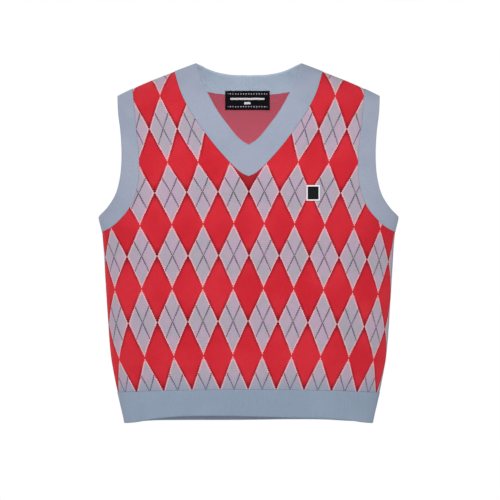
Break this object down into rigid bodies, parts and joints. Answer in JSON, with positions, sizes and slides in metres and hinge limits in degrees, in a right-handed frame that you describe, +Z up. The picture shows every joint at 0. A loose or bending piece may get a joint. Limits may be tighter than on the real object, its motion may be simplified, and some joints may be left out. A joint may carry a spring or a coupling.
{
  "type": "knitted sweater vest",
  "caption": "Sleeveless V-neck knitted pullover with an argyle body and plain ribbed neck, armholes and hem, hollow and filled out as worn",
  "frame": {"origin": "middle of the two shoulder seams, where the wearer's shoulders carry the vest", "axes": "+Z up, -Y towards the front, +X towards the wearer's left, which is on the right of the picture"},
  "size_m": [0.4502, 0.1951, 0.5402],
  "materials": {
    "argyle_knit": "matt fine-gauge two-colour knit, red and lilac grey diamonds, dusty rose wrong side",
    "rib_knit": "matt fine rib, pale blue grey",
    "label_weave": "satin-woven black label",
    "patch_stitching": "black embroidery with a white satin-stitched edge"
  },
  "bodies": {
    "root": {"front_panel": "argyle_knit", "back_panel": "argyle_knit", "front_neck_band": "rib_knit", "back_neck_band": "rib_knit", "armhole_band_left": "rib_knit", "armhole_band_right": "rib_knit", "front_hem_band": "rib_knit", "back_hem_band": "rib_knit", "neck_label": "label_weave", "chest_patch": "patch_stitching"}
  },
  "joints": []
}
